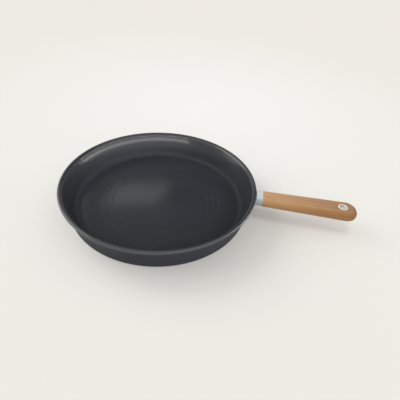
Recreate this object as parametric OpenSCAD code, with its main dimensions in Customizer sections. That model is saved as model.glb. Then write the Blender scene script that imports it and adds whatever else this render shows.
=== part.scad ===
// Omelette pan: a dark coated cast body with a rounded lip and flared wall, a steel plate
// let into its foot, and a straight wooden handle behind a pale metal collar.
// Millimetres. The origin is the middle of the foot, on the table. Z is up.
// The handle runs along +X.

/* [Pan body] */
// Diameter across the outside of the lip
rim_d = 280; // [220:1:340]
// Height from the table to the top of the lip
pan_h = 41; // [38:0.5:60]
// How far the outside of the wall spreads between the foot and the lip, on one side
flare = 6.5; // [5:0.5:12]
// Radius of the outer edge between the foot and the wall
heel_r = 6; // [4:0.5:8]
// Lean of the outside wall where it leaves the heel, in degrees from upright
heel_lean = 7; // [2:1:12]
// Thickness of the floor, with the foot plate in it
floor_t = 5; // [4:0.25:7]
// Thickness of the wall just above the heel
wall_t = 5.5; // [4.5:0.1:6.5]
// Radius between the floor and the wall inside
floor_fillet = 8; // [5:0.5:11]
// Lean of the inside wall where it leaves the floor fillet, in degrees from upright
inner_lean = 14; // [8:1:20]

/* [Lip] */
// How far the lip stands out past the outside of the wall
lip_out = 4; // [3.6:0.1:5]
// Width of the lip seen from above
lip_w = 6.5; // [6:0.1:7.5]
// Radius of the outer bead of the lip
bead_r = 2.3; // [2:0.1:2.6]
// How far the inner edge of the lip lies below the bead's top
lip_drop = 4; // [3.6:0.1:4.6]
// Lean of the lip's inner band at its inner edge, in degrees from upright
land_lean = 20; // [10:1:30]
// Depth of the fine groove between the bead and the inner band
lip_groove = 0.5; // [0.3:0.1:0.8]

/* [Floor rings] */
// Radius of the outer ring turned in the floor
ring_outer_r = 89; // [70:1:98]
// Step from one floor ring to the next
ring_step = 9.5; // [6:0.5:20]
// Number of floor rings
ring_count = 3; // [1:1:3]
// Width of a floor ring
ring_w = 1.2; // [0.8:0.1:2.5]
// Depth of a floor ring
ring_depth = 0.15; // [0.1:0.05:0.5]

/* [Foot plate] */
// Diameter of the steel plate in the foot
plate_d = 200; // [180:1:212]
// Thickness of the plate
plate_t = 1.5; // [1:0.1:2]
// Diameter of the round holes in the plate
plate_hole_d = 6; // [4:0.5:8]
// Distance between the rings of holes, and of the first ring from the middle
plate_ring_step = 24; // [20:1:30]
// Number of rings of holes
plate_rings = 3; // [1:1:3]
// Number of holes in the first ring; each ring further out has as many more
plate_ring_holes = 8; // [4:1:10]

/* [Handle collar] */
// Height of the handle's middle line below the top of the lip
handle_drop = 7; // [7:0.5:12]
// Length of collar that shows between the lip and the wood
collar_show = 9; // [6:0.5:20]
// Width of the collar
collar_w = 25.2; // [20:0.2:26]
// Height of the collar
collar_h = 12.2; // [11:0.2:14]
// Radius along the edges of the collar
collar_edge_r = 5; // [3:0.2:5.4]

/* [Wooden handle] */
// Length of the wood
wood_l = 130; // [110:1:160]
// Width of the wood at the collar
wood_w_root = 26.5; // [24:0.5:30]
// Width of the wood near its far end
wood_w_end = 32.5; // [28:0.5:36]
// Thickness of the wood
wood_t = 13.5; // [13:0.5:20]
// Radius along the long edges of the wood
wood_edge_r = 5.5; // [3:0.25:5.75]
// Radius of the two far corners seen from above
wood_corner_r = 12; // [8:0.5:13.5]
// How far the front edge of the wood is eased
wood_ease = 0.6; // [0.2:0.1:1.5]

/* [Hanging hole] */
// Distance of the hole's middle from the far end of the wood
hole_back = 20; // [15:0.5:28]
// Radius of the clear hole
hole_r = 5; // [3.5:0.1:6]
// Thickness of the sleeve that lines the hole
sleeve_t = 0.6; // [0.4:0.1:1]
// How far the sleeve's rolled edge spreads over the wood
sleeve_flange = 0.6; // [0.5:0.1:1.5]
// How far the sleeve's rolled edge stands above the wood
sleeve_proud = 0.5; // [0.3:0.1:0.8]

/* [Lug and stay] */
// Width of the lug cast on the wall
lug_w = 14; // [11:0.5:15]
// Height of the lug
lug_h = 7; // [6:0.5:8]
// Radius along the edges of the lug
lug_edge_r = 1; // [0.5:0.1:2]
// How far the lug reaches into the wood
lug_in = 15; // [13:0.5:20]
// Depth of the slot in the lug's end
slot_l = 14; // [11:0.5:14.5]
// Width of the flat steel stay
stay_w = 12; // [9:0.5:13]
// Thickness of the stay
stay_t = 3; // [2:0.25:3.5]
// How far the stay reaches into the wood
stay_in = 55; // [48:1:75]
// Diameter of the two rivets through lug and stay
rivet_d = 4; // [3:0.25:4.5]
// Distance between the two rivets
rivet_pitch = 6; // [5:0.25:6.5]

/* [Handle screw] */
// Distance of the screw from the front of the wood
screw_in = 41; // [34:1:46]
// Diameter of the screw's shank
screw_d = 4.8; // [4:0.1:5]
// Diameter of the screw's head
head_d = 8.4; // [7.5:0.1:9]
// Height of the screw's head
head_h = 1.9; // [1.5:0.1:2.1]
// Width across the corners of the six-sided socket in the head
socket_d = 3; // [2.5:0.1:4]
// Room round the head in its recess
recess_room = 0.8; // [0.5:0.1:1.2]
// How far the screw's tip stands past the stay
screw_past = 1.6; // [0.5:0.1:1.8]
// Thickness of the spring washer
washer_t = 1.1; // [0.8:0.1:1.3]
// Width of the split in the spring washer
washer_split = 0.8; // [0.5:0.1:1.5]

/* [Fits] */
// Gap between the collar and the curved pan
seat_gap = 0.3; // [0.2:0.05:0.5]
// Clearance round the lug, the stay, the plate and the sleeve
fit_gap = 0.15; // [0.1:0.05:0.25]

/* [Hidden] */
$fa = 6;
$fs = 0.5;
round_fn = 120;
pin_fn = 48;
hull_fn = 32;
arc_steps = 12;
overlap = 0.5;
past = 30;
bead_turn = 140;
split_turn = 35;

rim_r = rim_d / 2;
coat = "#3b3d42";
steel = "#b9bcc0";
pale_metal = "#cdd3d6";
beech = "#bd9061";

// Points on an arc about [r, z], from angle a0 to angle a1
function arc(r, z, radius, a0, a1) = [
    for (i = [0 : arc_steps])
    let (a = a0 + (a1 - a0) * i / arc_steps)
    [r + radius * cos(a), z + radius * sin(a)]
];

// A wall that starts at [r0, z0] with lean a0 and curves outwards until it ends at [r1, z1]
function end_lean(r0, z0, a0, r1, z1) = 2 * atan((r1 - r0) / (z1 - z0)) - a0;
function flared(r0, z0, a0, r1, z1) =
    let (a1 = end_lean(r0, z0, a0, r1, z1))
    let (radius = (z1 - z0) / (sin(a1) - sin(a0)))
    arc(r0 + radius * cos(a0), z0 - radius * sin(a0), radius, 180 - a0, 180 - a1);

// Outside of the pan: foot, heel, wall, and the underside of the lip
bead_mid_r = rim_r - bead_r;
bead_mid_z = pan_h - bead_r;
under_lip_z = pan_h - 2 * bead_r - overlap;
wall_top_r = rim_r - lip_out;
wall_low_r = wall_top_r - flare;
wall_low_z = heel_r * (1 - sin(heel_lean));
foot_r = wall_low_r - heel_r * cos(heel_lean);
heel = arc(foot_r, heel_r, heel_r, -90, -heel_lean);
outside_wall = flared(wall_low_r, wall_low_z, heel_lean, wall_top_r, under_lip_z);
bead_side = arc(bead_mid_r, bead_mid_z, bead_r, -90, 0);
bead_top = arc(bead_mid_r, bead_mid_z, bead_r, 0, bead_turn);

// Inside of the pan: inner band of the lip, wall, fillet and floor
lip_in_r = rim_r - lip_w;
lip_in_z = pan_h - lip_drop;
land_out_r = bead_mid_r + bead_r * cos(bead_turn);
land_out_z = bead_mid_z + bead_r * sin(bead_turn) - lip_groove;
land_out_lean = end_lean(lip_in_r, lip_in_z, land_lean, land_out_r, land_out_z);
land = flared(land_out_r, land_out_z, land_out_lean, lip_in_r, lip_in_z);
inner_low_r = wall_low_r - wall_t;
inner_low_z = floor_t + floor_fillet * (1 - sin(inner_lean));
floor_r = inner_low_r - floor_fillet * cos(inner_lean);
lip_lean = end_lean(inner_low_r, inner_low_z, inner_lean, lip_in_r, lip_in_z);
inside_wall = flared(lip_in_r, lip_in_z, lip_lean, inner_low_r, inner_low_z);
inner_face = concat(land, inside_wall);
inside_fillet = arc(floor_r, floor_t + floor_fillet, floor_fillet, -inner_lean, -90);
floor_rings = [
    for (i = [0 : ring_count - 1])
    let (r = ring_outer_r - i * ring_step)
    each [[r + ring_w / 2, floor_t], [r, floor_t - ring_depth], [r - ring_w / 2, floor_t]]
];

// Handle: the middle line's height, and where the wood, lug, stay and screw lie along it
handle_z = pan_h - handle_drop;
wood_x = rim_r + collar_show;
wood_end_x = wood_x + wood_l;
hole_x = wood_end_x - hole_back;
lug_root_x = wall_top_r - flare;
lug_end_x = wood_x + lug_in;
slot_x = lug_end_x - slot_l;
slot_h = stay_t + fit_gap;
stay_x = slot_x + fit_gap;
stay_end_x = wood_x + stay_in;
rivet_x = (slot_x + lug_end_x) / 2;
screw_x = wood_x + screw_in;
recess_r = head_d / 2 + recess_room;
recess_depth = head_h + washer_t + fit_gap;
recess_top_z = handle_z - wood_t / 2 + recess_depth;
screw_tip_z = handle_z + stay_t / 2 + screw_past;
sleeve_out_r = hole_r + sleeve_t;
plate_r = plate_d / 2;
slim = 0.02;

// Places of the holes in the foot plate, ring by ring
key_places = [
    for (ring = [1 : plate_rings])
    let (count = plate_ring_holes * ring)
    for (i = [0 : count - 1])
    let (turn = 360 * i / count)
    [ring * plate_ring_step * cos(turn), ring * plate_ring_step * sin(turn)]
];

module rounded_outline(w, h, r) {
    square([w - 2 * r, h], center = true);
    square([w, h - 2 * r], center = true);
    for (side = [-1, 1], level = [-1, 1])
        translate([side * (w / 2 - r), level * (h / 2 - r)])
        circle(r, $fn = pin_fn);
}

// Pushes a flat outline out along the handle, from x0 to x1, about the handle's middle line
module along_handle(x0, x1) {
    translate([x0, 0, handle_z])
        rotate([90, 0, 90])
        linear_extrude(x1 - x0)
        children();
}

// An upright pin or hole on the handle's centre plane
module upright(x, z0, z1, r) {
    translate([x, 0, z0])
        cylinder(h = z1 - z0, r = r, $fn = pin_fn);
}

module body_profile() {
    polygon(concat(
        [[0, plate_t], [plate_r + fit_gap, plate_t], [plate_r + fit_gap, 0]],
        heel, outside_wall, bead_side, bead_top, inner_face, inside_fillet,
        floor_rings, [[0, floor_t]]
    ));
}

// Everything inside the wall's inner face, up past the lip
module bowl_profile() {
    polygon(concat(
        inner_face,
        [[floor_r, floor_t + overlap], [0, floor_t + overlap]],
        [[0, pan_h + past], [land_out_r, pan_h + past]]
    ));
}

// The pan's outside with a gap all round it, and straight up from the bead
module keep_clear_profile() {
    polygon(concat(
        [[0, -past], [foot_r, -past]],
        [for (p = concat(heel, outside_wall, bead_side)) p + [seat_gap, -seat_gap]],
        [[rim_r + seat_gap, pan_h + past], [0, pan_h + past]]
    ));
}

module lug() {
    difference() {
        along_handle(lug_root_x, lug_end_x)
            rounded_outline(lug_w, lug_h, lug_edge_r);
        along_handle(slot_x, lug_end_x + past)
            square([lug_w + past, slot_h], center = true);
        for (side = [-1, 1])
            upright(rivet_x + side * rivet_pitch / 2, handle_z - past, handle_z + past, rivet_d / 2);
        rotate_extrude($fn = round_fn)
            bowl_profile();
    }
}

// The aluminium of the body fills the foot plate's holes and holds it
module plate_keys() {
    for (place = key_places)
        translate([place[0], place[1], fit_gap])
        cylinder(h = plate_t - fit_gap + overlap, d = plate_hole_d - 2 * fit_gap, $fn = pin_fn);
}

module pan_body() {
    color(coat) {
        union() {
            rotate_extrude($fn = round_fn)
                body_profile();
            lug();
            plate_keys();
        }
    }
}

module foot_plate() {
    color(steel)
    difference() {
        cylinder(h = plate_t, r = plate_r, $fn = round_fn);
        for (place = key_places)
            translate([place[0], place[1], -overlap])
            cylinder(h = plate_t + 2 * overlap, d = plate_hole_d, $fn = pin_fn);
    }
}

// Pale metal collar: its inner end follows the wall and reaches in under the lip
module collar() {
    color(pale_metal)
    difference() {
        along_handle(lug_root_x, wood_x)
            rounded_outline(collar_w, collar_h, collar_edge_r);
        along_handle(lug_root_x - past, wood_x + past)
            square([lug_w + 2 * fit_gap, lug_h + 2 * fit_gap], center = true);
        rotate_extrude($fn = round_fn)
            keep_clear_profile();
    }
}

module handle_stay() {
    color(steel)
    difference() {
        along_handle(stay_x, stay_end_x)
            square([stay_w, stay_t], center = true);
        for (side = [-1, 1])
            upright(rivet_x + side * rivet_pitch / 2, handle_z - past, handle_z + past, rivet_d / 2);
        upright(screw_x, handle_z - past, handle_z + past, screw_d / 2 + fit_gap);
    }
}

module stay_rivets() {
    color(pale_metal)
    for (side = [-1, 1])
        upright(rivet_x + side * rivet_pitch / 2,
                handle_z - lug_h / 2, handle_z + lug_h / 2, rivet_d / 2 - fit_gap / 2);
}

module wood_slice(x, inset) {
    along_handle(x, x + slim)
        rounded_outline(wood_w_root - 2 * inset, wood_t - 2 * inset, wood_edge_r - inset);
}

// A flat round with rounded rims: one far corner of the wood
module wood_corner() {
    rotate_extrude($fn = pin_fn)
        intersection() {
            union() {
                square([wood_corner_r - wood_edge_r, wood_t / 2]);
                square([wood_corner_r, wood_t / 2 - wood_edge_r]);
                translate([wood_corner_r - wood_edge_r, wood_t / 2 - wood_edge_r])
                    circle(wood_edge_r, $fn = hull_fn);
            }
            square([wood_corner_r, wood_t / 2]);
        }
}

module wood_blank() {
    hull() {
        wood_slice(wood_x, wood_ease);
        wood_slice(wood_x + wood_ease, 0);
        for (side = [-1, 1], flip = [0, 1])
            translate([wood_end_x - wood_corner_r, side * (wood_w_end / 2 - wood_corner_r), handle_z])
            mirror([0, 0, flip])
            wood_corner();
    }
}

module wood_handle() {
    color(beech)
    difference() {
        wood_blank();
        along_handle(wood_x - past, lug_end_x + fit_gap)
            square([lug_w + 2 * fit_gap, lug_h + 2 * fit_gap], center = true);
        along_handle(wood_x, stay_end_x + fit_gap)
            square([stay_w + 2 * fit_gap, stay_t + 2 * fit_gap], center = true);
        upright(screw_x, handle_z - past, recess_top_z, recess_r);
        upright(screw_x, handle_z - past, screw_tip_z + overlap, screw_d / 2 + fit_gap);
        upright(hole_x, handle_z - past, handle_z + past, sleeve_out_r + fit_gap);
    }
}

// Thin sleeve with its two edges rolled out over the wood
module hanging_sleeve() {
    color(pale_metal)
    translate([hole_x, 0, handle_z])
        rotate_extrude($fn = round_fn)
        polygon(concat(
            [[sleeve_out_r, -wood_t / 2], [sleeve_out_r + sleeve_flange, -wood_t / 2]],
            [[sleeve_out_r + sleeve_flange, -wood_t / 2 - sleeve_proud / 2]],
            [[sleeve_out_r, -wood_t / 2 - sleeve_proud], [hole_r + sleeve_proud, -wood_t / 2 - sleeve_proud]],
            arc(hole_r + sleeve_proud, -wood_t / 2, sleeve_proud, -90, -180),
            arc(hole_r + sleeve_proud, wood_t / 2, sleeve_proud, 180, 90),
            [[sleeve_out_r, wood_t / 2 + sleeve_proud]],
            [[sleeve_out_r + sleeve_flange, wood_t / 2 + sleeve_proud / 2]],
            [[sleeve_out_r + sleeve_flange, wood_t / 2], [sleeve_out_r, wood_t / 2]]
        ));
}

module handle_screw() {
    color(steel) {
        head_z = recess_top_z - washer_t - head_h;
        difference() {
            union() {
                upright(screw_x, head_z, head_z + head_h, head_d / 2);
                upright(screw_x, head_z + head_h - overlap, screw_tip_z, screw_d / 2);
            }
            translate([screw_x, 0, head_z - overlap])
                cylinder(h = head_h / 2 + overlap, d = socket_d, $fn = 6);
        }
    }
}

// Split ring under the screw's head
module spring_washer() {
    color(steel)
    difference() {
        upright(screw_x, recess_top_z - washer_t, recess_top_z, head_d / 2 - fit_gap);
        upright(screw_x, recess_top_z - past, recess_top_z + past, screw_d / 2 + fit_gap);
        translate([screw_x, 0, recess_top_z - past])
            rotate([0, 0, split_turn])
            translate([0, -washer_split / 2, 0])
            cube([head_d, washer_split, 2 * past]);
    }
}

pan_body();
foot_plate();
collar();
handle_stay();
stay_rivets();
wood_handle();
hanging_sleeve();
handle_screw();
spring_washer();
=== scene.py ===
# %% [markdown]
# A dark coated omelette pan with a pale metal collar and a straight beech handle.
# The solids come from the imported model, at their real size and place. Here they get
# their finishes, the wood is carved as a smooth mesh, and a floor, a few soft lamps and
# a camera are set round them. All lengths are metres, and the handle runs along +X.

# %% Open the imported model
import math

import bmesh
import bpy
from mathutils import Matrix, Vector


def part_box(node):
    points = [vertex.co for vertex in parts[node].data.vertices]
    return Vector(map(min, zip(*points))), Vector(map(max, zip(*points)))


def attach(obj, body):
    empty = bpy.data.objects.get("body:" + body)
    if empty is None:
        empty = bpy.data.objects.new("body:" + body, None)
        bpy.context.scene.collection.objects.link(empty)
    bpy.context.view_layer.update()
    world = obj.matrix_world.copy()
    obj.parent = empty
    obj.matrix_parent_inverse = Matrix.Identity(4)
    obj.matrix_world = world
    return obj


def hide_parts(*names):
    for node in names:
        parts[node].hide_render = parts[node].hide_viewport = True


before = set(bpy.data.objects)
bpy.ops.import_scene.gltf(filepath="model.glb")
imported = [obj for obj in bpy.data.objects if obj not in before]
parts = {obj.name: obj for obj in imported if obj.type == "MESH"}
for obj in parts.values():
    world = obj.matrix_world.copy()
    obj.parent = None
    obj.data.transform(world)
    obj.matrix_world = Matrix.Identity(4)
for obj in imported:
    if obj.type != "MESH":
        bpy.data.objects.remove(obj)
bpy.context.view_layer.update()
mm = 0.001
print("pieces in the model:", sorted(parts))

# %% [markdown]
# The main places are read from the model, so that what is made here sits exactly on it. The
# pan's middle is the origin, because the pan was drawn round it.

# %% Read the main places
body_low, body_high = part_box("pan_body")
collar_low, collar_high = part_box("collar")
wood_low, wood_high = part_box("wood_handle")
sleeve_low, sleeve_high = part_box("hanging_sleeve")
plate_low, plate_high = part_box("foot_plate")
screw_low, screw_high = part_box("handle_screw")
stay_low, stay_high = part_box("handle_stay")
rim_radius = -body_low.x
rim_top = body_high.z
grip_z = (wood_low.z + wood_high.z) / 2
hole_x = (sleeve_low.x + sleeve_high.x) / 2
screw_x = (screw_low.x + screw_high.x) / 2
print(f"lip {2 * rim_radius / mm:.0f} mm across, collar to x {collar_high.x / mm:.0f} mm,",
      f"wood {(wood_high.x - wood_low.x) / mm:.0f} mm long")

# %% [markdown]
# The camera stands in front of the pan, turned a little so that the handle comes towards the
# viewer, and looks down at about forty degrees. It is aimed at about the middle of pan and
# handle together. A round lip that is left of the middle of a near view looks tilted, so the
# camera rolls about its own line of sight until the lip lies almost level, as it does in the
# photo. The floor is plain, so nothing else shows the roll.

# %% Place the camera
view_turn = math.radians(6.17)
view_height = math.radians(39.67)
view_roll = math.radians(5.08)
view_distance = 3.6 * rim_radius
aim_right = 0.0600
aim_back = 0.0098
lens_width = 36.0
lens_length = 29.27


def from_view(right, back, up):
    """A place given as the viewer sees it: to the right, away from the viewer, and up."""
    return Matrix.Rotation(view_turn, 3, "Z") @ Vector((right, back, up))


aim = from_view(aim_right, aim_back, 0.0)
away = from_view(0.0, -math.cos(view_height), math.sin(view_height))
lens = bpy.data.cameras.new("camera")
lens.sensor_width = lens_width
lens.lens = lens_length
camera = bpy.data.objects.new("camera", lens)
camera.location = aim + away * view_distance
level = away.to_track_quat("Z", "Y").to_matrix()
camera.rotation_euler = (level @ Matrix.Rotation(view_roll, 3, "Z")).to_euler()
bpy.context.scene.collection.objects.link(camera)
bpy.context.scene.camera = camera
print("camera at", [round(v, 3) for v in camera.location])

# %% [markdown]
# Every finish below is a small tree of shader nodes. Four helpers keep the trees short: one
# adds a node and fills its sockets, two start and end a tree, and the last gives a piece of
# the model its finish.

# %% Helpers for finishes
def put(tree, kind, inputs=None, **settings):
    """Adds a node. A value that is a socket is linked, and any other value is set."""
    node = tree.nodes.new("ShaderNode" + kind)
    for name, value in settings.items():
        setattr(node, name, value)
    for name, value in (inputs or {}).items():
        if isinstance(value, bpy.types.NodeSocket):
            tree.links.new(value, node.inputs[name])
        else:
            node.inputs[name].default_value = value
    return node


def new_finish(name):
    finish = bpy.data.materials.new(name)
    finish.use_nodes = True
    finish.node_tree.nodes.clear()
    return finish, finish.node_tree


def close_finish(tree, inputs):
    """Ends a tree with one shader and the output."""
    shader = put(tree, "BsdfPrincipled", inputs)
    out = put(tree, "OutputMaterial")
    tree.links.new(shader.outputs["BSDF"], out.inputs["Surface"])


def paint(node_name, finish):
    """Gives a piece of the model its finish."""
    piece = parts[node_name]
    for place in piece.material_slots:
        place.material = finish


print("helpers for finishes ready")

# %% [markdown]
# A few sums come again in most finishes. A ramp turns a number into a colour, a remap moves
# one range of numbers onto another, and a mix blends two colours. A noise mostly lies
# between 0.3 and 0.7, so one helper spreads it over the range that is wanted. The last one
# measures the distance from the pan's axis, because what a lathe leaves depends on that.

# %% Sums and places
noise_low = 0.3
noise_high = 0.7


def ramp(tree, factor, stops):
    """A colour ramp from a list of (place, colour)."""
    node = put(tree, "ValToRGB", {"Fac": factor})
    elements = node.color_ramp.elements
    while len(elements) < len(stops):
        elements.new(0.5)
    for element, (place, colour) in zip(elements, stops):
        element.position = place
        element.color = (*colour, 1.0)
    return node.outputs["Color"]


def remap(tree, value, low, high, to_low, to_high):
    node = put(tree, "MapRange", {"Value": value, "From Min": low, "From Max": high,
                                  "To Min": to_low, "To Max": to_high})
    return node.outputs["Result"]


def spread(tree, noise, low, high):
    return remap(tree, noise, noise_low, noise_high, low, high)


def maths(tree, operation, a, b=0.0):
    return put(tree, "Math", {0: a, 1: b}, operation=operation).outputs["Value"]


def mixed(tree, factor, a, b):
    """Mixes two colours."""
    node = put(tree, "Mix", data_type="RGBA")
    for name, value in (("Factor_Float", factor), ("A_Color", a), ("B_Color", b)):
        socket = next(s for s in node.inputs if s.identifier == name)
        if isinstance(value, bpy.types.NodeSocket):
            tree.links.new(value, socket)
        else:
            socket.default_value = value
    return next(s for s in node.outputs if s.identifier == "Result_Color")


def axis_place(tree):
    """The place on the object, its distance from the pan's axis, and its height."""
    where = put(tree, "TexCoord").outputs["Object"]
    split = put(tree, "SeparateXYZ", {"Vector": where})
    flat = put(tree, "CombineXYZ", {"X": split.outputs["X"], "Y": split.outputs["Y"]})
    radius = put(tree, "VectorMath", {0: flat.outputs["Vector"]}, operation="LENGTH")
    return where, radius.outputs["Value"], split.outputs["Z"]


print("helpers for sums and places ready")

# %% [markdown]
# The body has a dark non-stick coating, which isn't the same all over in the photo. The lip
# is the glossiest, and its colour is a little lighter, which paints part of the highlight that
# its rounded bead catches. The outside is darker and matt, and the bend between floor and wall
# shows no shine. Below, the aluminium that fills the foot plate's holes was faced together
# with the plate, so it is bare. The body is one solid with one finish, so each zone is a mask
# that is picked out by the place on the body or by the way the surface faces.

# %% Zones of the coating
lip_width = 6.7 * mm
lip_depth = 4.6 * mm
outside_facing = 0.3 * rim_radius
bend_middle = 119.0 * mm
bend_reach = 5.0 * mm
plate_skin = 0.1 * mm


def coating_zones(tree, where, radius, height):
    """Masks that are 1 on the lip, outside, in the bend, and on the bare foot."""
    normal = put(tree, "TexCoord").outputs["Normal"]
    outward = put(tree, "VectorMath", {0: where, 1: (1.0, 1.0, 0.0)}, operation="MULTIPLY")
    facing = put(tree, "VectorMath", {0: normal, 1: outward.outputs["Vector"]},
                 operation="DOT_PRODUCT").outputs["Value"]
    low_down = maths(tree, "LESS_THAN", height, rim_top - lip_depth)
    near_edge = maths(tree, "GREATER_THAN", radius, rim_radius - lip_width)
    lip = maths(tree, "MULTIPLY", near_edge, maths(tree, "SUBTRACT", 1.0, low_down))
    faces_out = maths(tree, "GREATER_THAN", facing, outside_facing)
    outside = maths(tree, "MULTIPLY", faces_out, low_down)
    bend = put(tree, "Math", {0: radius, 1: bend_middle, 2: bend_reach},
               operation="COMPARE").outputs["Value"]
    bend = maths(tree, "MULTIPLY", bend, maths(tree, "SUBTRACT", 1.0, outside))
    in_plate = maths(tree, "LESS_THAN", radius, plate_high.x)
    at_foot = maths(tree, "LESS_THAN", height, plate_high.z + plate_skin)
    return lip, outside, bend, maths(tree, "MULTIPLY", in_plate, at_foot)


print(f"the glossy lip is {lip_width / mm:.1f} mm wide and {lip_depth / mm:.1f} mm deep")

# %% [markdown]
# The coating is sprayed on, so it is a satin skin with a very fine orange peel and tiny pale
# flecks. Under it the floor was turned on a lathe, and the turning still shows as faint
# rings. The rings are waves of the distance from the axis, in the bump and not in the
# colour, because they only show where the light rakes them.

# %% Coating of the body
ring_pitch = 2.2 * mm
ring_strength = 0.35
ring_fade = 4 * mm
floor_edge = 0.82 * rim_radius
cloud_scale = 18.0
peel_scale = 1800.0
fleck_scale = 700.0
fleck_core = 0.08
fleck_rim = 0.14
fleck_strength = 0.06
inside_skins = [(0.3, (0.0208, 0.0228, 0.0276)), (0.7, (0.0232, 0.0254, 0.0307))]
outside_skin = (0.0150, 0.0173, 0.0235, 1.0)
# The lip's colour is a little lighter than the inside's: painted highlight for part of the light
# its bead catches.
lip_skin_and_highlight = (0.0240, 0.0262, 0.0308, 1.0)
bare_metal = (0.62, 0.63, 0.64, 1.0)
pale_fleck = (0.30, 0.31, 0.33, 1.0)
gloss_inside = 0.30
gloss_more_on_lip = 0.50
gloss_less_outside = 0.25
satin = 0.43
duller_satin = 0.50
matt_rise = 0.15


def coating():
    finish, tree = new_finish("dark_coating")
    where, radius, height = axis_place(tree)
    lip, outside, bend, bare = coating_zones(tree, where, radius, height)

    cloud = put(tree, "TexNoise", {"Vector": where, "Scale": cloud_scale, "Detail": 3.0})
    cloud = cloud.outputs["Fac"]
    peel = put(tree, "TexNoise", {"Vector": where, "Scale": peel_scale, "Detail": 2.0})
    cells = put(tree, "TexVoronoi", {"Vector": where, "Scale": fleck_scale})
    flecks = remap(tree, cells.outputs["Distance"], fleck_core, fleck_rim, fleck_strength, 0.0)
    skin = ramp(tree, cloud, inside_skins)
    skin = mixed(tree, outside, skin, outside_skin)
    # The lip mask lays on the lighter colour, the painted part of the bead's highlight.
    skin = mixed(tree, lip, skin, lip_skin_and_highlight)
    skin = mixed(tree, flecks, skin, pale_fleck)

    waves = maths(tree, "MULTIPLY", radius, 2 * math.pi / ring_pitch)
    waves = maths(tree, "SINE", waves)
    on_floor = remap(tree, radius, floor_edge, floor_edge - ring_fade, 0.0, ring_strength)
    rings = maths(tree, "MULTIPLY", waves, on_floor)
    relief = maths(tree, "ADD", rings, peel.outputs["Fac"])
    bump = put(tree, "Bump", {"Height": relief, "Strength": 0.10, "Distance": 0.15 * mm})

    rough = spread(tree, cloud, satin, duller_satin)
    matt = maths(tree, "MULTIPLY", maths(tree, "MAXIMUM", outside, bend), matt_rise)
    gloss = maths(tree, "MULTIPLY", lip, gloss_more_on_lip)
    gloss = maths(tree, "ADD", gloss, gloss_inside)
    less = maths(tree, "MULTIPLY", outside, gloss_less_outside)
    gloss = maths(tree, "SUBTRACT", gloss, less)
    gloss = maths(tree, "MULTIPLY", gloss, maths(tree, "SUBTRACT", 1.0, bend))
    close_finish(tree, {
        "Base Color": mixed(tree, bare, skin, bare_metal),
        "Metallic": bare,
        "Roughness": maths(tree, "ADD", rough, matt),
        "Specular IOR Level": 0.17,
        "Normal": bump.outputs["Normal"],
        "Coat Weight": gloss,
        "Coat Roughness": 0.13,
    })
    return finish


paint("pan_body", coating())
print("coating: turned rings every", ring_pitch / mm, "mm")

# %% [markdown]
# The foot plate is stainless steel that was faced on a lathe after it was pressed in, so its
# scratches are close rings. Here they are a noise of the distance from the axis alone: all
# points of a ring get the same value, and no pattern has to be wrapped round a disc.

# %% Turned steel of the foot plate
scratch_depth = 0.05 * mm


def turned_metal(name, colour, rough, pitch, depth):
    """A metal with ring-shaped tool marks round the pan's axis."""
    finish, tree = new_finish(name)
    where, radius, _ = axis_place(tree)
    wobble = put(tree, "TexNoise", {"Vector": where, "Scale": 60.0, "Detail": 2.0})
    ring = maths(tree, "MULTIPLY", radius, 1 / pitch)
    marks = put(tree, "TexNoise", {"W": ring, "Scale": 1.0}, noise_dimensions="1D")
    marks = marks.outputs["Fac"]
    shade = (*[0.93 * c for c in colour], 1.0)
    bump = put(tree, "Bump", {"Height": marks, "Strength": depth, "Distance": scratch_depth})
    close_finish(tree, {
        "Base Color": mixed(tree, wobble.outputs["Fac"], shade, (*colour, 1.0)),
        "Metallic": 1.0,
        "Roughness": spread(tree, marks, rough - 0.05, rough + 0.05),
        "Normal": bump.outputs["Normal"],
    })
    return finish


foot_steel = turned_metal("foot_steel", (0.56, 0.57, 0.59), rough=0.34, pitch=0.5 * mm,
                          depth=0.25)
paint("foot_plate", foot_steel)
print("foot plate finished")

# %% [markdown]
# The other metals are brushed: the sleeve along its bore, and the collar, stay, screw and
# washer along the handle. For the scratches a noise is drawn out along one axis: the smaller
# a number of the stretch, the longer they run that way. The rivets are aluminium with no
# grain, so their three numbers are equal.

# %% Brushed metals
def brushed_metal(name, colour, rough, stretch):
    """A satin metal whose fine scratches run along the axis that stretch makes long."""
    finish, tree = new_finish(name)
    where = put(tree, "TexCoord").outputs["Object"]
    drawn = put(tree, "Mapping", {"Vector": where, "Scale": stretch}).outputs["Vector"]
    hairs = put(tree, "TexNoise", {"Vector": drawn, "Scale": 1.0, "Detail": 4.0})
    hairs = hairs.outputs["Fac"]
    cloud = put(tree, "TexNoise", {"Vector": where, "Scale": 120.0}).outputs["Fac"]
    shade = (*[0.95 * c for c in colour], 1.0)
    bump = put(tree, "Bump", {"Height": hairs, "Strength": 0.08, "Distance": scratch_depth})
    close_finish(tree, {
        "Base Color": mixed(tree, cloud, shade, (*colour, 1.0)),
        "Metallic": 1.0,
        "Roughness": spread(tree, hairs, rough - 0.06, rough + 0.06),
        "Normal": bump.outputs["Normal"],
    })
    return finish


along_handle = (300.0, 2500.0, 2500.0)
along_bore = (900.0, 900.0, 90.0)
no_grain = (900.0, 900.0, 900.0)
paint("collar", brushed_metal("collar_metal", (0.47, 0.510, 0.540), 0.34, along_handle))
paint("hanging_sleeve", brushed_metal("sleeve_metal", (0.93, 0.93, 0.92), 0.38, along_bore))
inner_steel = brushed_metal("inner_steel", (0.55, 0.56, 0.58), 0.32, along_handle)
for name in ("handle_stay", "handle_screw", "spring_washer"):
    paint(name, inner_steel)
paint("stay_rivets", brushed_metal("rivet_metal", (0.75, 0.76, 0.77), 0.36, no_grain))
print("brushed metals finished")

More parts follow.
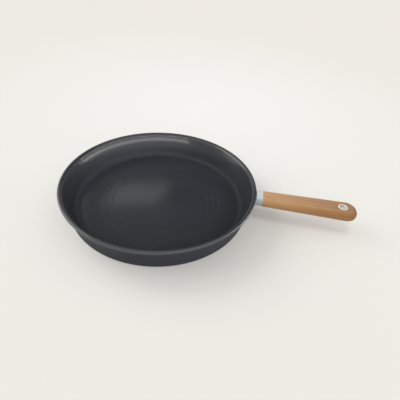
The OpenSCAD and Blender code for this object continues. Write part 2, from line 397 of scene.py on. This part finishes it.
# %% [markdown]
# The handle is one straight stick of beech. It starts with a square-cut end at the collar and
# widens a little. The corners of its far end are so large that the end is almost a half
# circle, and all its long edges are rounded over.
# A stick like this is an outline seen from above that shrinks towards the top and bottom
# face, so the mesh is a stack of such outlines: each lies on one level of the rounded edge.
# That gives clean long quads and a true curve, where a bevelled block would pinch.

# %% Outline of the wood seen from above
root_width = 26.5 * mm
far_width = wood_high.y - wood_low.y
far_corner = 14.5 * mm
front_ease = 0.6 * mm
corner_steps = 16
side_steps = 24


def wood_outline():
    """Points and outward directions from the front on one side, round the end, and back."""
    corner_x = wood_high.x - far_corner
    corner_y = far_width / 2 - far_corner
    run = Vector((corner_x - wood_low.x, (far_width - root_width) / 2))
    lean = math.atan2(run.y, run.x)
    half = []
    for i in range(side_steps):
        share = i / side_steps
        half.append((
            Vector((wood_low.x + share * run.x, root_width / 2 + share * run.y)),
            Vector((-math.sin(lean), math.cos(lean))),
        ))
    for i in range(corner_steps + 1):
        turn = (math.radians(90) + lean) * (1 - i / corner_steps)
        side = Vector((math.cos(turn), math.sin(turn)))
        half.append((Vector((corner_x, corner_y)) + far_corner * side, side))
    other = [(Vector((p.x, -p.y)), Vector((n.x, -n.y))) for p, n in reversed(half)]
    return half + other


outline = wood_outline()
print("outline points:", len(outline))

# %% [markdown]
# The edge is rounded with an ellipse that reaches further in than down. The top then has a
# soft shoulder on each side, as sanding leaves it, and the face between them is flat. The
# square end at the collar only has its edge broken, with a small bevel.

# %% Carve the wood
edge_in = 6.5 * mm
edge_down = 5.6 * mm
edge_steps = 14


def wood_mesh():
    work = bmesh.new()
    half_height = (wood_high.z - wood_low.z) / 2
    rows = []
    for i in range(edge_steps + 1):
        turn = math.pi * i / edge_steps - math.pi / 2
        inset = edge_in * (1 - math.cos(turn))
        straight = 0.0 if 2 * i == edge_steps else math.copysign(half_height - edge_down, turn)
        height = grip_z + straight + edge_down * math.sin(turn)
        row = []
        for place, side in outline:
            spot = place - side * inset
            row.append(work.verts.new((max(spot.x, wood_low.x), spot.y, height)))
        row[0].co.x = wood_low.x
        row[-1].co.x = wood_low.x
        rows.append(row)
    for low, high in zip(rows, rows[1:]):
        for k in range(len(outline) - 1):
            work.faces.new((low[k], high[k], high[k + 1], low[k + 1]))
    work.faces.new(rows[0])
    work.faces.new(reversed(rows[-1]))
    front = work.faces.new([row[0] for row in rows] + [row[-1] for row in reversed(rows)])
    bmesh.ops.recalc_face_normals(work, faces=work.faces)
    bmesh.ops.bevel(work, geom=list(front.edges), offset=front_ease, segments=3, profile=0.5,
                    affect="EDGES")
    mesh = bpy.data.meshes.new("wood_grip")
    work.to_mesh(mesh)
    work.free()
    piece = bpy.data.objects.new("wood_grip", mesh)
    bpy.context.scene.collection.objects.link(piece)
    return piece


wood_grip = wood_mesh()
print("wood:", len(wood_grip.data.polygons), "faces before its holes are cut")

# %% [markdown]
# The stick has hollows for what goes into it. As in the workshop, they are cut from the
# finished stick: a cutter is a plain round or square solid, and a boolean takes its shape
# away. The faces that no cutter meets stay the clean quads they were.

# %% Cutters
bore_steps = 64


def round_cutter(x, radius, low, high):
    work = bmesh.new()
    bmesh.ops.create_cone(work, cap_ends=True, segments=bore_steps, radius1=radius,
                          radius2=radius, depth=high - low)
    bmesh.ops.translate(work, verts=work.verts, vec=(x, 0, (low + high) / 2))
    return work


def square_cutter(x0, x1, width, height):
    work = bmesh.new()
    bmesh.ops.create_cube(work, size=1.0)
    bmesh.ops.scale(work, verts=work.verts, vec=(x1 - x0, width, height))
    bmesh.ops.translate(work, verts=work.verts, vec=((x0 + x1) / 2, 0, grip_z))
    return work


def cut(piece, work):
    mesh = bpy.data.meshes.new("cutter")
    work.to_mesh(mesh)
    work.free()
    cutter = bpy.data.objects.new("cutter", mesh)
    bpy.context.scene.collection.objects.link(cutter)
    step = piece.modifiers.new("cut", "BOOLEAN")
    step.object = cutter
    step.operation = "DIFFERENCE"
    step.solver = "EXACT"
    bpy.context.view_layer.objects.active = piece
    bpy.ops.object.modifier_apply(modifier=step.name)
    bpy.data.objects.remove(cutter)


print("cutters ready")

# %% [markdown]
# Five cuts are made: the hole for the sleeve, the recess for the screw's head, the narrower
# hole for its shank, and the two steps of the mortise for the lug and the stay. The sleeve,
# screw and stay are pieces of the model, so their holes are measured from their boxes, with
# a little room. The lug is cast onto the body and has no box of its own, so its sizes are
# written here. So are those of the screw and sleeve that a box doesn't tell.

# %% Cut the holes
room = 0.15 * mm
overrun = 5 * mm
sharp_from = 28.0
sleeve_flange = 0.6 * mm
sleeve_wall = (sleeve_high.y - sleeve_low.y) / 2 - sleeve_flange
head_radius = (screw_high.y - screw_low.y) / 2
head_room = 0.8 * mm
head_and_washer = 3.0 * mm
recess_top = screw_low.z + head_and_washer
shank_hole = 2.55 * mm
tip_room = 0.5 * mm
lug_width = 14.0 * mm
lug_height = 7.0 * mm
lug_reach = 15.0 * mm
below = wood_low.z - overrun
above = wood_high.z + overrun
before = wood_low.x - overrun
stay_width = stay_high.y - stay_low.y
stay_height = stay_high.z - stay_low.z
cut(wood_grip, round_cutter(hole_x, sleeve_wall + room, below, above))
cut(wood_grip, round_cutter(screw_x, head_radius + head_room, below, recess_top))
cut(wood_grip, round_cutter(screw_x, shank_hole, below, screw_high.z + tip_room))
cut(wood_grip, square_cutter(before, wood_low.x + lug_reach + room,
                             lug_width + 2 * room, lug_height + 2 * room))
cut(wood_grip, square_cutter(before, stay_high.x + room,
                             stay_width + 2 * room, stay_height + 2 * room))
bpy.context.view_layer.objects.active = wood_grip
wood_grip.select_set(True)
bpy.ops.object.shade_smooth_by_angle(angle=math.radians(sharp_from))
wood_grip.select_set(False)
print("wood:", len(wood_grip.data.polygons), "faces with its holes")

# %% [markdown]
# Beech is pale and pinkish, with a quiet grain. Three things make it look like beech: broad
# soft bands along the stick, fine darker fibres, and many short dark flecks that lie along
# them and sink in a little. Each is a noise that is stretched along the handle. The oil
# leaves a thin coat, and the wood's colour grows darker towards the far end.

# %% Finish of the wood
waviness = 3.0 * mm
band_scale = (9.0, 190.0, 90.0)
fibre_scale = (60.0, 1500.0, 1500.0)
dark_fleck_scale = (330.0, 2100.0, 2100.0)
near_collar = [
    (0.32, (0.560, 0.325, 0.150)),
    (0.50, (0.515, 0.278, 0.118)),
    (0.68, (0.445, 0.224, 0.087)),
]
near_end = [
    (0.32, (0.375, 0.180, 0.058)),
    (0.50, (0.330, 0.148, 0.045)),
    (0.68, (0.275, 0.117, 0.033)),
]
fibre_colour = (0.24, 0.110, 0.045, 1.0)
dark_fleck = (0.20, 0.090, 0.036, 1.0)


def beech():
    finish, tree = new_finish("beech")
    where = put(tree, "TexCoord").outputs["Object"]
    split = put(tree, "SeparateXYZ", {"Vector": where})
    drift = put(tree, "TexNoise", {"Vector": where, "Scale": 12.0, "Detail": 2.0})
    nudge = put(tree, "VectorMath", {0: drift.outputs["Color"], "Scale": waviness},
                operation="SCALE")
    bent = put(tree, "VectorMath", {0: where, 1: nudge.outputs["Vector"]}, operation="ADD")

    def along(scale, detail):
        drawn = put(tree, "Mapping", {"Vector": bent.outputs["Vector"], "Scale": scale})
        return put(tree, "TexNoise", {"Vector": drawn.outputs["Vector"], "Scale": 1.0,
                                      "Detail": detail}).outputs["Fac"]

    bands = along(band_scale, 3.0)
    fibres = along(fibre_scale, 4.0)
    flecks = along(dark_fleck_scale, 1.0)
    reach = remap(tree, split.outputs["X"], wood_low.x, wood_high.x, 0.0, 1.0)
    wood = mixed(tree, reach, ramp(tree, bands, near_collar), ramp(tree, bands, near_end))
    wood = mixed(tree, remap(tree, fibres, 0.35, 0.70, 0.0, 0.22), wood, fibre_colour)
    wood = mixed(tree, remap(tree, flecks, 0.63, 0.72, 0.0, 0.40), wood, dark_fleck)
    relief = maths(tree, "SUBTRACT", fibres, maths(tree, "MULTIPLY", flecks, 0.6))
    bump = put(tree, "Bump", {"Height": relief, "Strength": 0.18, "Distance": 0.12 * mm})
    close_finish(tree, {
        "Base Color": wood,
        "Roughness": spread(tree, fibres, 0.46, 0.60),
        "Specular IOR Level": 0.35,
        "Normal": bump.outputs["Normal"],
        "Coat Weight": 0.08,
        "Coat Roughness": 0.30,
    })
    return finish


wood_grip.data.materials.append(beech())
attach(wood_grip, "root")
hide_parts("wood_handle")
print("beech handle in place of the plain solid")

# %% [markdown]
# The pan stands on a pale warm floor that runs out to the sky. The floor is a real surface,
# so the pan's soft shadow lies on it. It is a little lighter behind the pan, where a
# backdrop would be lit, and that lightness is in its colour, so it stays put in every view.
# It has no shine, which would lighten it far out.
#
# Three lamps further down light the floor alone. The floor's colours are written as they
# look under all lamps, so the finish divides them by the light that those three add.

# %% Floor
floor_size = 30.0
floor_drop = 0.05 * mm
glow_middle = (0.05, 0.35, 0.0)
glow_reach = 0.75
floor_colour = (0.855, 0.825, 0.775)
glow_colour = (0.925, 0.915, 0.885)
fill_share = 0.36
handle_share = 0.24
body_share = 0.22


def under_lamps(colour):
    return (*[c / (1 + fill_share + handle_share + body_share) for c in colour], 1.0)


def floor_finish():
    finish, tree = new_finish("floor")
    where = put(tree, "TexCoord").outputs["Object"]
    shifted = put(tree, "VectorMath", {0: where, 1: from_view(*glow_middle)},
                  operation="SUBTRACT").outputs["Vector"]
    radius = put(tree, "VectorMath", {0: shifted}, operation="LENGTH").outputs["Value"]
    speckle = put(tree, "TexNoise", {"Vector": where, "Scale": 400.0, "Detail": 2.0})
    speckle = spread(tree, speckle.outputs["Fac"], 0.0, 0.01)
    glow = remap(tree, radius, 0.0, glow_reach, 1.0, 0.0)
    colour = mixed(tree, glow, under_lamps(floor_colour), under_lamps(glow_colour))
    close_finish(tree, {
        "Base Color": mixed(tree, speckle, colour, under_lamps((0.7, 0.7, 0.7))),
        "Roughness": 0.9,
        "Specular IOR Level": 0.0,
    })
    return finish


def make_floor():
    work = bmesh.new()
    bmesh.ops.create_grid(work, x_segments=8, y_segments=8, size=floor_size / 2)
    mesh = bpy.data.meshes.new("floor")
    work.to_mesh(mesh)
    work.free()
    mesh.materials.append(floor_finish())
    floor = bpy.data.objects.new("floor", mesh)
    floor.location.z = -floor_drop
    bpy.context.scene.collection.objects.link(floor)
    return floor


floor = make_floor()
print("floor", floor_size, "m across")

# %% [markdown]
# The sky lights the pan evenly from all sides. What the eye and reflections see there is the
# floor's colour, so the horizon doesn't show. One shader can do both, because the light path
# tells which kind of ray asks.

# %% Sky
sky_strength = 0.81


def make_sky(strength):
    world = bpy.data.worlds.new("sky")
    bpy.context.scene.world = world
    world.use_nodes = True
    tree = world.node_tree
    tree.nodes.clear()
    light = put(tree, "Background", {"Color": (1.0, 1.0, 1.0, 1.0), "Strength": strength})
    shown = put(tree, "Background", {"Color": (*floor_colour, 1.0), "Strength": 1.0})
    path = put(tree, "LightPath").outputs
    seen = maths(tree, "MAXIMUM", path["Is Camera Ray"], path["Is Glossy Ray"])
    seen = maths(tree, "MAXIMUM", seen, path["Is Transmission Ray"])
    choice = put(tree, "MixShader", {"Fac": seen})
    tree.links.new(light.outputs["Background"], choice.inputs[1])
    tree.links.new(shown.outputs["Background"], choice.inputs[2])
    out = put(tree, "OutputWorld")
    tree.links.new(choice.outputs["Shader"], out.inputs["Surface"])


make_sky(sky_strength)
print("sky of strength", sky_strength)

# %% [markdown]
# Most of the light is the even sky. A soft lamp low on the left gives the shadow its
# direction. A second one in front lifts the body's dark walls. It lights the body alone, and
# reflections don't meet it, so it neither thins the shadow nor draws a shine. All lamps here
# are suns with a wide disc, because a sun is as bright at the floor's far end as at the pan.

# %% Soft lamps
pan_only = bpy.data.collections.new("pan_only")
pan_only.objects.link(parts["pan_body"])


def soft_lamp(name, strength, disc, towards):
    """A sun whose disc is that many degrees wide. It stands towards (right, back, up)."""
    lamp = bpy.data.lights.new(name, "SUN")
    lamp.energy = strength
    lamp.angle = math.radians(disc)
    holder = bpy.data.objects.new(name, lamp)
    holder.rotation_euler = from_view(*towards).to_track_quat("Z", "Y").to_euler()
    bpy.context.scene.collection.objects.link(holder)
    return holder


soft_lamp("left_lamp", strength=1.36, disc=48.0, towards=(-0.90, 0.12, 0.45))
front_lamp = soft_lamp("front_lamp", strength=3.80, disc=80.0, towards=(0.50, -0.75, 0.40))
front_lamp.visible_glossy = False
front_lamp.light_linking.receiver_collection = pan_only
print("soft lamps set")

# %% [markdown]
# In the photo the pan's shadow is faint and reaches far to the right, and the handle has a
# narrow shadow of its own right below it. No single lamp draws both, so three lamps light
# the floor alone. Nothing stands in the way of the first, which thins all shadows. Only the
# handle stands in the way of the second, a small lamp almost overhead, and only the body in
# the way of the third, a low lamp behind on the left. The floor is on each list of blockers
# too, so that none is empty, and it shades nothing.

# %% Lamps for the floor alone
floor_only = bpy.data.collections.new("floor_only")
floor_only.objects.link(floor)


def floor_lamp(name, share, disc, towards, blockers):
    """Adds that share of light to the floor. Only the blockers cast a shadow in it."""
    steepness = Vector(towards).normalized().z
    lamp = soft_lamp(name, math.pi * share / steepness, disc, towards)
    lamp.light_linking.receiver_collection = floor_only
    in_the_way = bpy.data.collections.new(name + "_blockers")
    for piece in blockers:
        in_the_way.objects.link(piece)
    lamp.light_linking.blocker_collection = in_the_way


handle_pieces = [wood_grip, parts["collar"], parts["hanging_sleeve"]]
floor_lamp("fill_lamp", fill_share, 20.0, (0.0, 0.0, 1.0), [floor])
floor_lamp("handle_lamp", handle_share, 20.0, (-0.13, -0.22, 0.97), [floor, *handle_pieces])
floor_lamp("body_lamp", body_share, 36.0, (-0.71, 0.50, 0.50), [floor, parts["pan_body"]])
print(f"added {fill_share + handle_share + body_share:.2f} of the floor's other light")

# %% [markdown]
# The dark coating shows two reflections: a soft lozenge on the floor of the pan and a long
# thin streak high on the wall. Each is a lamp seen in the coating as in a dull mirror.
# So the lamps are put where the mirror rule says: for a point on the pan, the ray from the
# camera is turned back about the surface's normal, and the lamp lies along the new ray.

# %% Mirror rule
def mirrored(place, normal, reach):
    """Where a lamp has to be, at that distance, to be seen in the surface at place."""
    ray = (place - camera.location).normalized()
    back = ray - 2 * ray.dot(normal) * normal
    return place + back * reach


print("mirror rule ready")

# %% [markdown]
# What shows in a mirror needs a shape, and these shapes are skewed and bent. Blender's area
# lamps are flat rectangles and ellipses, so each lamp here is a mesh that glows. It is hidden
# from the camera, from shadows and from diffuse light, and light linking keeps it to the
# reflections in the pieces that it is meant for.

# %% Glowing sheets
def lamp_sheet(name, rows, strength, receivers):
    """A glowing sheet through rows of points. Only reflections in the receivers meet it."""
    work = bmesh.new()
    grid = [[work.verts.new(p) for p in row] for row in rows]
    for low, high in zip(grid, grid[1:]):
        for k in range(len(low) - 1):
            work.faces.new((low[k], low[k + 1], high[k + 1], high[k]))
    mesh = bpy.data.meshes.new(name)
    work.to_mesh(mesh)
    work.free()
    finish, tree = new_finish(name)
    glow = put(tree, "Emission", {"Color": (1.0, 1.0, 1.0, 1.0), "Strength": strength})
    out = put(tree, "OutputMaterial")
    tree.links.new(glow.outputs["Emission"], out.inputs["Surface"])
    mesh.materials.append(finish)
    sheet = bpy.data.objects.new(name, mesh)
    sheet.visible_camera = False
    sheet.visible_shadow = False
    sheet.visible_diffuse = False
    sheet.light_linking.receiver_collection = receivers
    bpy.context.scene.collection.objects.link(sheet)


print("glowing sheets ready")

# %% [markdown]
# The lozenge lies on the pan's flat floor, a little left of the middle. It is a skewed
# rectangle, and each of its corners is mirrored by itself.

# %% Lamp for the lozenge
pan_floor_height = 5 * mm
patch_middle = (-0.038, 0.004)
patch_half_width = 0.042
patch_half_depth = 0.026
patch_skew = 0.35
patch_glow = 2.8
lamp_reach = 1.1
patch_rows = []
for depth in (-1.0, 1.0):
    row = []
    for width in (-1.0, 1.0):
        right = width * patch_half_width + depth * patch_skew * patch_half_depth
        back = depth * patch_half_depth + width * patch_skew * patch_half_depth
        spot = from_view(patch_middle[0] + right, patch_middle[1] + back, pan_floor_height)
        row.append(mirrored(spot, Vector((0.0, 0.0, 1.0)), lamp_reach))
    patch_rows.append(row)
lamp_sheet("floor_patch_lamp", patch_rows, patch_glow, pan_only)
print(f"patch lamp {(patch_rows[0][0] - patch_rows[0][1]).length:.2f} m wide")

# %% [markdown]
# The wall leans out more and more towards the lip, so its normal turns with the height. The
# streak lies at one height. The strip lamp is a ribbon through the mirrored points of that
# stretch of wall, and its two edges belong to the two edges of the streak. The wall's low
# and top end are each given as height and lean, and the radius is that of the low end.

# %% Strip lamp for the wall's streak
streak_height = 32.0 * mm
streak_half = 1.9 * mm
streak_from = 76.0
streak_to = 170.0
streak_steps = 32
streak_glow = 15.0
wall_radius = 0.1240
wall_low = (0.01106, math.radians(14.0))
wall_top = (0.0370, math.radians(26.24))


def wall_at(turn, height):
    """Place and inward normal on the inside wall, an arc that leans out with the height."""
    low_height, low_lean = wall_low
    top_height, top_lean = wall_top
    arc = (top_height - low_height) / (math.sin(top_lean) - math.sin(low_lean))
    lean = math.asin(math.sin(low_lean) + (height - low_height) / arc)
    radius = wall_radius + arc * (math.cos(low_lean) - math.cos(lean))
    across, beyond = math.cos(turn), math.sin(turn)
    place = from_view(radius * across, radius * beyond, height)
    normal = from_view(-math.cos(lean) * across, -math.cos(lean) * beyond, math.sin(lean))
    return place, normal


strip_rows = []
for height in (streak_height - streak_half, streak_height + streak_half):
    row = []
    for i in range(streak_steps + 1):
        turn = math.radians(streak_from + (streak_to - streak_from) * i / streak_steps)
        place, normal = wall_at(turn, height)
        row.append(mirrored(place, normal, lamp_reach))
    strip_rows.append(row)
lamp_sheet("wall_strip_lamp", strip_rows, streak_glow, pan_only)
lowest = min(p.z for row in strip_rows for p in row)
print(f"strip lamp's lowest point {lowest:.2f} m")

# %% [markdown]
# A matt dark pan still mirrors whatever stands behind it, and a pale backdrop would grey its
# floor. Photographers hang a black card there and keep a white one for the metal. Here one
# card behind the pan does both: it glows for the bright pieces and stays dark for the body.
# It is out of the picture, and only reflections meet it.

# %% Card behind the pan
card_middle = (0.55, 0.97, 0.87)
card_width = 2.2
card_height = 1.5
card_glow = 1.30
bright_pieces = bpy.data.collections.new("bright_pieces")
for piece in (parts["collar"], parts["hanging_sleeve"], parts["foot_plate"], wood_grip):
    bright_pieces.objects.link(piece)


def card_behind():
    middle = from_view(*card_middle)
    right = from_view(1.0, 0.0, 0.0) * card_width / 2
    up = right.normalized().cross(middle.normalized()) * card_height / 2
    rows = [(middle - right - up, middle + right - up), (middle - right + up, middle + right + up)]
    lamp_sheet("card_behind", rows, card_glow, bright_pieces)


card_behind()
print("card hung behind the pan, out of the picture")

# %% [markdown]
# The render keeps colours as they are written.

# %% View settings
bpy.context.scene.view_settings.view_transform = "Standard"
